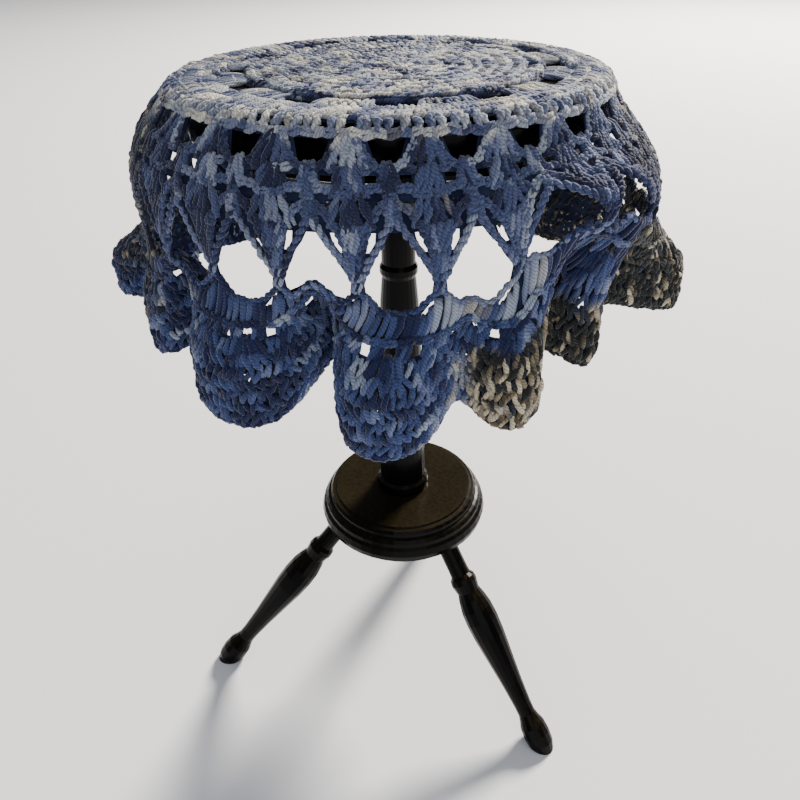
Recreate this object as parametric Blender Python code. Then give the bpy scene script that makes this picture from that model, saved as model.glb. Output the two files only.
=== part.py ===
"""A crocheted lace doily draped over the small round pedestal table that carries it.

Metres, +Z up. The origin is at the centre of the bounding box's bottom, on the floor.
"""

import math

import bmesh
import bpy
from mathutils import Matrix, Vector
import numpy as np

MM = 0.001
GAP = 0.3 * MM  # between pieces that rest on or against each other

# The small table
TABLE_HEIGHT = 640 * MM
TOP_RADIUS = 160 * MM
TOP_THICKNESS = 38 * MM
TOP_EDGE_ROUND = 10 * MM
TOP_UNDER_ROUND = 5 * MM
DISC_TOP = 230 * MM
DISC_BOTTOM = 190 * MM
LEG_TOP_RADIUS = 64 * MM  # from the table's axis to a leg's own axis, under the disc
LEG_FOOT_RADIUS = 217 * MM  # the same on the floor
LEG_AZIMUTHS = (192, 311, 72)

# The doily
CLOTH = 3 * MM
BAYS = 24
BAY = 360 / BAYS
BAY_TURN = 269.4  # azimuth of the middle of the first bay, where the table's front is at 270
SLOTS = 12
SLOT_TURN = 270.3
SLOT_INNER = 111 * MM
SLOT_OUTER = 133 * MM
SLOT_SHARE = 0.54  # of the ring of slots that is open
FRONT = 270

# (radius, height above the middle of the flat cloth) of the skirt's line, from the top's edge down
SHOULDER = (
    (153.0, 0.0),
    (162.8, -1.8),
    (168.5, -8.8),
    (174.5, -19.3),
    (182.0, -31.8),
    (189.5, -48.8),
    (193.5, -67.8),
    (194.0, -85.8),
    (193.5, -98.8),
)
TWIST = 1.8  # the points hang this many degrees round from where the rim carries them
SHIFT = 4 * MM  # how far the skirt lies off centre, towards the left
SIDE_STAND = 12 * MM  # how much farther out the skirt stands at the left and right
RIGHT_STAND = 6 * MM  # added to that at the right, and taken from it at the left
LEFT_STAND = 6 * MM  # the same for the rim, the other way round
# Where each of these comes in: the distance out along the cloth, in mm, and how far it takes
TWIST_ZONE = (174, 80)
SHIFT_ZONE = (135, 30)
SIDE_ZONE = (160, 90)
RIM_ZONE = (160, 30)
BELOW_RIM_ZONE = (200, 60)
FLARE_ZONE = (190, 72)

# Where the skirt is drawn out and up at the right front: azimuth from the front in degrees, how
# much farther out and how much higher the necks hang there, in mm
FLARE = (
    (8, 0, 0),
    (20.5, 0, 3),
    (25, 3, 27),
    (30, 7, 35),
    (37, 17, 35),
    (46, 16, 33),
    (54, 8, 20),
    (64, 1, 5),
    (78, 0, 0),
)

# The ruffled border, from the necks down to the hem
BORDER = 115 * MM
FULL_RUFFLE = 0.66  # the share of its length in which the folds reach their full depth
TIGHT_LIFT = 18 * MM  # its top is drawn up this much where a fold runs inwards
TIGHT_FOLD = 40 * MM  # by a fold that runs in this far
LIFT_FULL = 0.15  # the share of its length at which that lift is full
LIFT_ENDS = 0.75  # and at which it has gone

# Each row of lace: the distance out along the cloth, in mm, the lines between its cells as
# shares of half a bay, and which cells of half a bay, from its middle out, are open below it
LACE_ROWS = (
    ("edge of the flat top", 153, (0.50,), ".."),
    ("shoulder", 163.5, (0.50,), ".."),
    ("chain bar", 174, (0.51,), "X."),
    ("foot of the trapezoid", 188, (0.27,), ".."),
    ("top of the eyelets", 193.5, (0.14, 0.30, 0.58), "..X."),
    ("foot of the eyelets", 199.5, (0.14, 0.30, 0.56), "...."),
    ("fans", 206, (0.50,), ".."),
    ("top of the large opening", 225, (0.08,), "X."),
    ("strands", 240, (0.45,), "X."),
    ("points", 256, (0.84,), "X."),
    ("necks", 266, (0.80,), "X."),
    ("chain loops", 280, (0.45,), ".."),
    ("foot of the posts", 297, (0.11, 0.42, 0.62), "X.X."),
    ("shells", 308, (0.12, 0.42, 0.64), "...."),
    ("middle of the shells", 333, (0.13, 0.46, 0.73), "X..."),
    ("fan tips", 342, (0.13, 0.46, 0.73), "...."),
    ("last row", 363, (0.25, 0.50, 0.75), "...."),
    ("hem", 382.7, (0.25, 0.50, 0.75), "...."),
)

# The hem's folds in turn, outer and inner: degrees from the front, half width in degrees, and
# the radius and height of the hem there in mm
FOLDS = (
    (-88, 6.0, 246, 471),
    (-77, 2.0, 192, 474),
    (-66, 6.0, 216, 449),
    (-55, 2.0, 162, 475),
    (-34.5, 12.0, 225, 440),
    (-16.5, 3.0, 151, 479),
    (-4.5, 8.0, 226, 437),
    (12.5, 2.5, 180, 457),
    (21.5, 5.5, 219, 448),
    (39, 4.0, 154, 466),
    (47, 3.5, 193, 454),
    (64, 4.0, 172, 476),
    (82, 5.0, 243, 454),
    (93, 3.0, 186, 474),
    (106, 7.0, 230, 451),
    (120, 3.0, 161, 473),
    (135, 8.0, 221, 443),
    (150, 3.0, 156, 472),
    (164, 7.0, 226, 449),
    (178, 3.0, 166, 475),
    (192, 8.0, 222, 442),
    (207, 3.0, 158, 470),
    (221, 8.0, 228, 447),
    (236, 3.0, 166, 474),
    (250, 7.0, 232, 454),
    (261, 2.5, 186, 476),
)

# Turned outlines, (radius, height) in mm from the top down
COLUMN_OUTLINE = (
    (42, 602),
    (42, 596),
    (38, 592),
    (27, 588),
    (20, 576),
    (16.5, 552),
    (15, 520),
    (15.2, 484),
    (17.2, 480),
    (17.2, 475),
    (15.4, 471),
    (17.6, 446),
    (19.8, 400),
    (22, 340),
    (23.2, 270),
    (23.4, 243),
    (26.2, 240),
    (27, 235.5),
    (26, 230),
)
DISC_OUTLINE = (
    (70.5, 230),
    (71.5, 228.6),
    (73, 228.4),
    (75.5, 228.2),
    (77.6, 225.4),
    (78, 221.6),
    (80.5, 220.6),
    (83, 217.4),
    (83.4, 213.4),
    (86, 210.8),
    (87.6, 204.6),
    (86.4, 198.4),
    (82.6, 195),
    (80, 194),
    (79, 190),
)
# (radius, distance along the leg from the floor)
LEG_OUTLINE = (
    (10.4, 262),
    (10.2, 212),
    (10.6, 203),
    (13.4, 199.5),
    (14, 194.5),
    (13, 189.5),
    (12, 184),
    (14.4, 176),
    (16.8, 164),
    (17.4, 150),
    (16.6, 132),
    (13.9, 105),
    (11.1, 76),
    (9.3, 50),
    (9.2, 39),
    (10.6, 33),
    (13.4, 25),
    (14.2, 14),
    (13.2, 3),
    (8, -12),
)


def material(name, colour, roughness):
    made = bpy.data.materials.new(name)
    made.use_nodes = True
    shader = made.node_tree.nodes["Principled BSDF"]
    shader.inputs["Base Color"].default_value = (*colour, 1)
    shader.inputs["Roughness"].default_value = roughness
    shader.inputs["Metallic"].default_value = 0
    made.diffuse_color = (*colour, 1)
    return made


def make_object(name, mesh_data, look):
    mesh = bpy.data.meshes.new(name)
    mesh_data.to_mesh(mesh)
    mesh_data.free()
    mesh.shade_smooth()
    mesh.set_sharp_from_angle(angle=math.radians(35))
    made = bpy.data.objects.new(name, mesh)
    made.data.materials.append(look)
    bpy.context.scene.collection.objects.link(made)
    return made


def turned(outline, sides):
    """A lathe-turned solid: the outline spun about Z and closed with a flat face at each end."""
    mesh = bmesh.new()
    corners = [mesh.verts.new((radius * MM, 0, height * MM)) for radius, height in outline]
    edges = [mesh.edges.new(pair) for pair in zip(corners, corners[1:])]
    bmesh.ops.spin(
        mesh,
        geom=corners + edges,
        cent=(0, 0, 0),
        axis=(0, 0, 1),
        angle=math.tau,
        steps=sides,
        use_merge=True,
    )
    bmesh.ops.remove_doubles(mesh, verts=mesh.verts, dist=0.01 * MM)
    bmesh.ops.holes_fill(mesh, edges=mesh.edges, sides=0)
    bmesh.ops.recalc_face_normals(mesh, faces=mesh.faces)
    return mesh


def cut_flat(mesh, height, keep_below):
    """Cuts the mesh level at this height and closes the cut."""
    cut = bmesh.ops.bisect_plane(
        mesh,
        geom=mesh.verts[:] + mesh.edges[:] + mesh.faces[:],
        dist=0.001 * MM,
        plane_co=(0, 0, height),
        plane_no=(0, 0, 1),
        clear_outer=keep_below,
        clear_inner=not keep_below,
    )
    rim = [item for item in cut["geom_cut"] if isinstance(item, bmesh.types.BMEdge)]
    bmesh.ops.holes_fill(mesh, edges=rim, sides=0)
    bmesh.ops.recalc_face_normals(mesh, faces=mesh.faces)


def arc(centre_radius, centre_height, radius, start, end, steps):
    """Points of a rounded edge, in mm, by degrees from the horizontal."""
    angles = np.radians(np.linspace(start, end, steps + 1))
    return [
        (centre_radius + radius * math.cos(angle), centre_height + radius * math.sin(angle))
        for angle in angles
    ]


def top_outline():
    top, bottom = TABLE_HEIGHT / MM, (TABLE_HEIGHT - TOP_THICKNESS) / MM
    upper, lower = TOP_EDGE_ROUND / MM, TOP_UNDER_ROUND / MM
    radius = TOP_RADIUS / MM
    return arc(radius - upper, top - upper, upper, 90, 0, 4) + arc(
        radius - lower, bottom + lower, lower, 0, -90, 2
    )


def leg(name, azimuth, look):
    """One splayed leg, flat on the floor and cut level under the disc."""
    foot = Vector((LEG_FOOT_RADIUS, 0, 0))
    along = Vector((LEG_TOP_RADIUS, 0, DISC_BOTTOM)) - foot
    mesh = turned(LEG_OUTLINE, 16)
    lean = Vector((0, 0, 1)).rotation_difference(along).to_matrix().to_4x4()
    bmesh.ops.transform(mesh, matrix=Matrix.Translation(foot) @ lean, verts=mesh.verts)
    cut_flat(mesh, 0, keep_below=False)
    cut_flat(mesh, DISC_BOTTOM - GAP, keep_below=True)
    made = make_object(name, mesh, look)
    made.rotation_euler.z = math.radians(azimuth)
    return made


def fade(share):
    """Rises from 0 to 1 with level ends."""
    return 0.5 - 0.5 * math.cos(math.pi * min(max(share, 0), 1))


def comes_in(out, zone):
    start, width = zone
    return fade((out / MM - start) / width)


def smooth_line(points, steps):
    """A smooth line through the points (Catmull-Rom), as an array of points."""
    points = np.array(points, float)
    ends = np.vstack([2 * points[0] - points[1], points, 2 * points[-1] - points[-2]])
    share = np.linspace(0, 1, steps, endpoint=False)[:, None]
    parts = []
    for a, b, c, d in zip(ends, ends[1:], ends[2:], ends[3:]):
        bend = 2 * a - 5 * b + 4 * c - d
        twist = 3 * b - a - 3 * c + d
        parts.append(0.5 * (2 * b + (c - a) * share + bend * share**2 + twist * share**3))
    return np.vstack(parts + [points[-1:]])


def closed_spline(corners, steps):
    """A closed uniform cubic B-spline, which rounds the corners of its polygon."""
    share = np.linspace(0, 1, steps, endpoint=False)[:, None]
    weights = (
        (1 - share) ** 3 / 6,
        (3 * share**3 - 6 * share**2 + 4) / 6,
        (-3 * share**3 + 3 * share**2 + 3 * share + 1) / 6,
        share**3 / 6,
    )
    turns = [np.roll(corners, 1 - i, axis=0) for i in range(4)]
    parts = [
        sum(weight * turn[i] for weight, turn in zip(weights, turns)) for i in range(len(corners))
    ]
    return np.vstack(parts)


def lengths_along(points):
    steps = np.linalg.norm(np.diff(points, axis=0), axis=1)
    return np.concatenate([[0], np.cumsum(steps)])


class Drape:
    """Where each point of the flat, round doily lies once it is draped.

    A point of the cloth is named by its azimuth in degrees and its distance out from the
    centre, measured along the cloth.
    """

    def __init__(self):
        self.flat = TABLE_HEIGHT + GAP + CLOTH / 2
        self.line = smooth_line(SHOULDER, 8) * MM
        self.out = self.line[0, 0] + lengths_along(self.line)
        self.border_start = self.out[-1]
        self.flare = smooth_line(FLARE, 6)
        self.read_hem()

    def read_hem(self):
        corners = []
        for azimuth, half_width, radius, height in FOLDS:
            for side in (-half_width, half_width):
                angle = math.radians(FRONT + azimuth + side)
                corners.append((radius * math.cos(angle), radius * math.sin(angle), height))
        hem = closed_spline(np.array(corners) * MM, 24)
        hem = np.vstack([hem, hem[:1]])
        length = lengths_along(hem[:, :2])
        azimuth = np.degrees(np.unwrap(np.arctan2(hem[:, 1], hem[:, 0])))
        share = 360 * length / length[-1]
        start = np.mean(azimuth[:-1] - share[:-1])
        self.hem, self.hem_length = hem, length[-1]
        self.hem_azimuth = share + start

    def hem_at(self, azimuth):
        turned_to = (azimuth - self.hem_azimuth[0]) % 360 + self.hem_azimuth[0]
        return np.stack([np.interp(turned_to, self.hem_azimuth, axis) for axis in self.hem.T], -1)

    def __call__(self, azimuth, out):
        hangs = min(out, self.border_start)
        radius = np.interp(hangs, self.out, self.line[:, 0]) if out > self.out[0] else out
        height = self.flat + np.interp(hangs, self.out, self.line[:, 1])
        angle = math.radians(azimuth + TWIST * comes_in(out, TWIST_ZONE))
        right = math.cos(angle)
        side_stand = (SIDE_STAND + RIGHT_STAND * right) * right**2
        radius += side_stand * comes_in(out, SIDE_ZONE)
        near_rim = comes_in(out, RIM_ZONE) - comes_in(out, BELOW_RIM_ZONE)
        radius -= LEFT_STAND * right * near_rim
        from_front = (azimuth - FRONT + 180) % 360 - 180
        flares = comes_in(out, FLARE_ZONE) * MM
        radius += np.interp(from_front, self.flare[:, 0], self.flare[:, 1]) * flares
        height += np.interp(from_front, self.flare[:, 0], self.flare[:, 2]) * flares
        shift = SHIFT * comes_in(out, SHIFT_ZONE)
        ring = np.array([radius * right - shift, radius * math.sin(angle), height])
        down = (out - self.border_start) / BORDER
        if down <= 0:
            return ring
        hem = self.hem_at(azimuth + TWIST)
        place = ring + (hem - ring) * fade(down / FULL_RUFFLE)
        inward = (math.hypot(*ring[:2]) - math.hypot(*hem[:2])) / TIGHT_FOLD
        lift = fade(down / LIFT_FULL) - fade((down - LIFT_FULL) / (LIFT_ENDS - LIFT_FULL))
        tight = min(max(inward, 0), 1) * lift
        place[2] = height + (hem[2] - height) * down + TIGHT_LIFT * tight
        return place


class ClothMesh:
    """The draped cloth's middle surface, cell by cell, with its openings left out."""

    def __init__(self):
        self.mesh = bmesh.new()
        self.drape = Drape()

    def ring(self, out, azimuths):
        return [self.mesh.verts.new(self.drape(azimuth, out)) for azimuth in azimuths]

    def fill(self, inner, outer, pattern):
        """Faces between two rings, but for the pattern's open cells, marked X.

        One ring has as many points as the other, or twice as many.
        """
        cells = min(len(inner), len(outer))
        for i in range(cells):
            if pattern[i % len(pattern)] == "X":
                continue
            above, below = (
                [ring[(i * step + j) % len(ring)] for j in range(step + 1)]
                for ring, step in ((inner, len(inner) // cells), (outer, len(outer) // cells))
            )
            self.mesh.faces.new(above[::-1] + below)

    def finish(self):
        loose = [vert for vert in self.mesh.verts if not vert.link_faces]
        bmesh.ops.delete(self.mesh, geom=loose, context="VERTS")
        bmesh.ops.recalc_face_normals(self.mesh, faces=self.mesh.faces)
        return self.mesh


def bay_azimuths(shares):
    """Azimuths of a row's lines, all round, from each bay's left edge to its right."""
    half = [-1] + [-share for share in reversed(shares)] + [0] + list(shares)
    return [BAY_TURN + BAY * (bay + share / 2) for bay in range(BAYS) for share in half]


def slot_azimuths(cells):
    """Lines of the ring of slots: each slot's cells, then the cells of the bridge beside it."""
    pitch = 360 / SLOTS
    opened = cells // 2
    lines = []
    for slot in range(SLOTS):
        middle = SLOT_TURN + pitch * slot
        start, end = middle - pitch * SLOT_SHARE / 2, middle + pitch * SLOT_SHARE / 2
        lines += list(np.linspace(start, end, opened + 1))
        lines += list(np.linspace(end, start + pitch, cells - opened + 1))[1:-1]
    return lines


def nearest(azimuths, azimuth):
    """Which line of a ring lies nearest to this azimuth."""
    return int(np.argmin([abs((line - azimuth + 180) % 360 - 180) for line in azimuths]))


def doily(look):
    cloth = ClothMesh()
    rows = [(out * MM, bay_azimuths(shares), half) for _, out, shares, half in LACE_ROWS]

    # The flat middle: one face out to the ring of slots, whose lines pair up with the rows'
    cells = len(rows[0][1]) // SLOTS
    lines = slot_azimuths(cells)
    first = nearest(lines, rows[0][1][0])
    lines = lines[first:] + lines[:first]
    slots = "X" * (cells // 2) + "." * (cells - cells // 2)
    inner = cloth.ring(SLOT_INNER, lines)
    above = cloth.ring(SLOT_OUTER, lines)
    cloth.mesh.faces.new(inner)
    cloth.fill(inner, above, slots[first % cells :] + slots[: first % cells])

    pattern = "."
    for out, azimuths, half in rows:
        below = cloth.ring(out, azimuths)
        cloth.fill(above, below, pattern)
        above, pattern = below, half[::-1] + half

    made = make_object("doily", cloth.finish(), look)
    thick = made.modifiers.new("thickness", "SOLIDIFY")
    thick.thickness = CLOTH
    thick.offset = 0
    thick.use_even_offset = False
    return made


def column_mesh():
    """The post, a gap short of the top above it and of the disc below it."""
    mesh = turned(COLUMN_OUTLINE, 24)
    cut_flat(mesh, TABLE_HEIGHT - TOP_THICKNESS - GAP, keep_below=True)
    cut_flat(mesh, DISC_TOP + GAP, keep_below=False)
    return mesh


def middle_of(pieces):
    """The middle of the pieces' plan, as they are evaluated."""
    bpy.context.view_layer.update()
    graph = bpy.context.evaluated_depsgraph_get()
    points = []
    for piece in pieces:
        shape = piece.evaluated_get(graph)
        points += [shape.matrix_world @ vert.co for vert in shape.data.vertices]
    points = np.array(points)
    middle = (points.min(axis=0) + points.max(axis=0)) / 2
    return Vector((middle[0], middle[1], 0))


def main():
    for old in list(bpy.data.objects):
        bpy.data.objects.remove(old, do_unlink=True)

    cotton = material("variegated_cotton", (0.16, 0.24, 0.45), 0.9)
    wood = material("ebonised_wood", (0.012, 0.010, 0.007), 0.3)

    pieces = [
        doily(cotton),
        make_object("table_top", turned(top_outline(), 48), wood),
        make_object("column", column_mesh(), wood),
        make_object("base_disc", turned(DISC_OUTLINE, 48), wood),
    ]
    pieces += [
        leg(f"leg_{number}", azimuth, wood) for number, azimuth in enumerate(LEG_AZIMUTHS, 1)
    ]
    middle = middle_of(pieces)
    for piece in pieces:
        piece.location -= middle


main()
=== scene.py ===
"""A crocheted lace doily draped over a small ebonised pedestal table, worked strand by strand.

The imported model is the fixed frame. The doily's solid is replaced by its yarn, which follows
the same drape, and the table keeps its solids and gets its wood. Metres, +Z up, front at -Y.
"""

import math

import bmesh
import bpy
from mathutils import Matrix, Vector
import numpy as np


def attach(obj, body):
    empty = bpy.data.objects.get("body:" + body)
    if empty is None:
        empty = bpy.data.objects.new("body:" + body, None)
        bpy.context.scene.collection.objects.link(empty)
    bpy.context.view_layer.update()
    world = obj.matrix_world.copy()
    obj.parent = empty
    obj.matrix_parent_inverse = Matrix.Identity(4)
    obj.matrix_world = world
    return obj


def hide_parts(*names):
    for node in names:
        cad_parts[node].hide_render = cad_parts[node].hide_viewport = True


bl_info = {
    "name": "Draped lace doily",
    "version": (1, 0, 0),
    "blender": (4, 5, 0),
    "location": "View3D > Sidebar > Doily",
    "description": "A crocheted doily of variegated cotton over a small round table",
    "category": "Object",
}

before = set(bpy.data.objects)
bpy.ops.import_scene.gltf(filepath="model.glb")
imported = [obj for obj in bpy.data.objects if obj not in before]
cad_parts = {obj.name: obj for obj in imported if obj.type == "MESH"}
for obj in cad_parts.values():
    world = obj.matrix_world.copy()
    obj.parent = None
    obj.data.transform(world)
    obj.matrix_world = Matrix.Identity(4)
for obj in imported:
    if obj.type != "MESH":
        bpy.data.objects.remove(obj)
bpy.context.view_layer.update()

MM = 0.001
AXIS = (0.00228, 0.00196)  # where the table's own axis stands on the floor
FRONT = 270  # azimuths are in degrees, anticlockwise from above

# The drape, with the same sizes as the part's source
FLAT_HEIGHT = 641.8 * MM  # of the middle of the cloth on the table's top
BAYS = 24
BAY = 360 / BAYS
BAY_TURN = 269.4  # azimuth of the middle of the first bay
SLOTS = 12
SLOT_PITCH = 360 / SLOTS
SLOT_TURN = 270.3  # azimuth of the middle of the first slot
SLOT_SHARE = 0.54  # of the ring of slots that is open

# The skirt's line from the top's edge down: radius, and height above the flat cloth, in mm
SHOULDER = (
    (153.0, 0.0),
    (162.8, -1.8),
    (168.5, -8.8),
    (174.5, -19.3),
    (182.0, -31.8),
    (189.5, -48.8),
    (193.5, -67.8),
    (194.0, -85.8),
    (193.5, -98.8),
)
TWIST = 1.8  # the points hang this many degrees round from where the rim carries them
SHIFT = 4 * MM  # how far the skirt lies off centre, towards the left
SIDE_STAND = 12 * MM  # how much farther out the skirt stands at the left and right
RIGHT_STAND = 6 * MM  # added to that at the right, and taken from it at the left
LEFT_STAND = 6 * MM  # the same for the rim, the other way round
# Where each of these comes in: the distance out along the cloth, and how far it takes, in mm
TWIST_ZONE = (174, 80)
SHIFT_ZONE = (135, 30)
SIDE_ZONE = (160, 90)
RIM_ZONE = (160, 30)
BELOW_RIM_ZONE = (200, 60)
FLARE_ZONE = (190, 72)
# Where the skirt is drawn out and up at the right front: azimuth from the front in degrees, how
# much farther out and how much higher it hangs there, in mm
FLARE = (
    (8, 0, 0),
    (20.5, 0, 3),
    (25, 3, 27),
    (30, 7, 35),
    (37, 17, 35),
    (46, 16, 33),
    (54, 8, 20),
    (64, 1, 5),
    (78, 0, 0),
)
BORDER = 115 * MM  # the ruffled border, from the necks down to the hem
FULL_RUFFLE = 0.66  # the share of its length in which the folds reach their full depth
TIGHT_LIFT = 18 * MM  # its top is drawn up this much where a fold runs inwards
TIGHT_FOLD = 40 * MM  # by a fold that runs in this far
LIFT_FULL = 0.15  # the share of its length at which that lift is full
LIFT_ENDS = 0.75  # and at which it has gone
# The hem's folds in turn, outer and inner: azimuth from the front and half width in degrees,
# radius and height in mm
FOLDS = (
    (-88, 6.0, 246, 471),
    (-77, 2.0, 192, 474),
    (-66, 6.0, 216, 449),
    (-55, 2.0, 162, 475),
    (-34.5, 12.0, 225, 440),
    (-16.5, 3.0, 151, 479),
    (-4.5, 8.0, 226, 437),
    (12.5, 2.5, 180, 457),
    (21.5, 5.5, 219, 448),
    (39, 4.0, 154, 466),
    (47, 3.5, 193, 454),
    (64, 4.0, 172, 476),
    (82, 5.0, 243, 454),
    (93, 3.0, 186, 474),
    (106, 7.0, 230, 451),
    (120, 3.0, 161, 473),
    (135, 8.0, 221, 443),
    (150, 3.0, 156, 472),
    (164, 7.0, 226, 449),
    (178, 3.0, 166, 475),
    (192, 8.0, 222, 442),
    (207, 3.0, 158, 470),
    (221, 8.0, 228, 447),
    (236, 3.0, 166, 474),
    (250, 7.0, 232, 454),
    (261, 2.5, 186, 476),
)

# The dark sheet behind the stitches, painted shade in the gaps between them: distance out in mm,
# three lines between the cells of half a bay as shares of it, and the bay's open cells below that
# row, from its left to its right
GROUND_ROWS = (
    (157, (0.19, 0.47, 0.86), "........"),
    (162, (0.19, 0.47, 0.86), "X.X..X.X"),
    (169, (0.19, 0.48, 0.87), "........"),
    (172, (0.20, 0.52, 0.78), "..XXXX.."),
    (187.5, (0.14, 0.28, 0.60), "........"),
    (193, (0.14, 0.29, 0.59), ".X....X."),
    (200, (0.14, 0.29, 0.57), "........"),
    (208, (0.10, 0.36, 0.58), ".X....X."),
    (215, (0.10, 0.40, 0.56), "........"),
    (226, (0.12, 0.46, 0.62), ".X.XX.X."),
    (232, (0.26, 0.50, 0.66), ".X.XX.X."),
    (238, (0.46, 0.66, 0.74), "...XX..."),
    (245, (0.59, 0.75, 0.84), "...XX..."),
    (256, (0.85, 0.90, 0.95), "...XX..."),
    (266, (0.80, 0.88, 0.95), "...XX..."),
    (269, (0.70, 0.86, 0.97), "...XX.X."),
    (282, (0.30, 0.50, 0.62), "........"),
    (299, (0.12, 0.41, 0.63), ".X.XX.X."),
    (307, (0.12, 0.41, 0.65), "........"),
    (320, (0.13, 0.44, 0.70), "........"),
    (334, (0.12, 0.46, 0.73), "...XX..."),
    (341, (0.12, 0.48, 0.74), "........"),
    (352, (0.25, 0.50, 0.75), "........"),
    (366, (0.25, 0.50, 0.75), "........"),
    (380.5, (0.25, 0.50, 0.75), "........"),
)

# Where the yarn is painted paler (painted light), darker (painted shade) and with more charcoal
# (painted shade with warm painted highlights): how much, the azimuths from the front and the
# distances out in mm between which it is so, and over how much each fades
PAST_HEM = 500
PAINTED_LIGHT_PLACES = (
    (0.85, (12, 34, 5), (345, PAST_HEM, 30)),
    (0.80, (12, 24, 6), (270, 294, 6)),
)
PAINTED_SHADE_PLACES = (
    (0.7, (-140, -30, 15), (200, PAST_HEM, 25)),
    (0.8, (36, 150, 12), (215, 318, 25)),
)
CHARCOAL_SHADE_PLACES = (
    (1.0, (17, 32, 4), (325, PAST_HEM, 15)),
    (1.0, (36, 60, 6), (345, PAST_HEM, 20)),
    (0.55, (-120, -66, 12), (190, 330, 30)),
)

# Metres of yarn from one row to the next, in a whole stitch and in one strand of it
YARN_IN_ROW = 7.31
YARN_IN_STITCH = 0.055
YARN_IN_STRAND = 0.012

HALF_BAY = 23.5  # mm, about the middle of the skirt
POINTS = 6  # along a strand
SIDES = 5  # round it
STEPS = np.linspace(0, 1, POINTS)
TAPER = np.array([0.62, 0.98, 1.06, 1.06, 0.98, 0.62])  # of its thickness, from end to end

# The camera, fitted to the table: where the picture's middle lies in a frame this many pixels
# wide, its place from the table's axis and above the floor, and its turns in radians
FRAME_WIDTH = 800
MIDDLE = (401.10, 389.79)
CAMERA_BACK = 0.600
CAMERA_HEIGHT = 0.7438
CAMERA_DOWN = 0.5838
CAMERA_ROLL = -0.0199
CAMERA_LENS, CAMERA_SENSOR = 32.75, 36  # in mm


def fade(share):
    """Rises from 0 to 1 with level ends."""
    return 0.5 - 0.5 * np.cos(math.pi * np.clip(share, 0, 1))


def comes_in(out, zone):
    """How far what starts in this zone has come in, from 0 to 1."""
    start, width = zone
    return fade((out / MM - start) / width)


def between(value, low, high, soft):
    """1 from low to high, fading to 0 over soft beyond them."""
    return fade((value - low) / soft + 1) * fade((high - value) / soft + 1)


def smooth_line(points, steps):
    """A smooth line through the points (Catmull-Rom), as an array of points."""
    points = np.array(points, float)
    ends = np.vstack([2 * points[0] - points[1], points, 2 * points[-1] - points[-2]])
    share = np.linspace(0, 1, steps, endpoint=False)[:, None]
    parts = []
    for a, b, c, d in zip(ends, ends[1:], ends[2:], ends[3:]):
        bend = 2 * a - 5 * b + 4 * c - d
        twist = 3 * b - a - 3 * c + d
        parts.append(0.5 * (2 * b + (c - a) * share + bend * share**2 + twist * share**3))
    return np.vstack(parts + [points[-1:]])


def closed_spline(corners, steps):
    """A closed line (a cubic B-spline) that rounds the corners of its polygon."""
    share = np.linspace(0, 1, steps, endpoint=False)[:, None]
    weights = (
        (1 - share) ** 3 / 6,
        (3 * share**3 - 6 * share**2 + 4) / 6,
        (-3 * share**3 + 3 * share**2 + 3 * share + 1) / 6,
        share**3 / 6,
    )
    turns = [np.roll(corners, 1 - i, axis=0) for i in range(4)]
    parts = [
        sum(weight * turn[i] for weight, turn in zip(weights, turns)) for i in range(len(corners))
    ]
    return np.vstack(parts)


def lengths_along(points):
    """How far along the line each of its points lies."""
    steps = np.linalg.norm(np.diff(points, axis=-2), axis=-1)
    start = np.zeros(steps.shape[:-1] + (1,))
    return np.concatenate([start, np.cumsum(steps, axis=-1)], axis=-1)


def unit(vectors):
    """The vectors at a length of 1."""
    return vectors / np.maximum(np.linalg.norm(vectors, axis=-1, keepdims=True), 1e-12)


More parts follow.
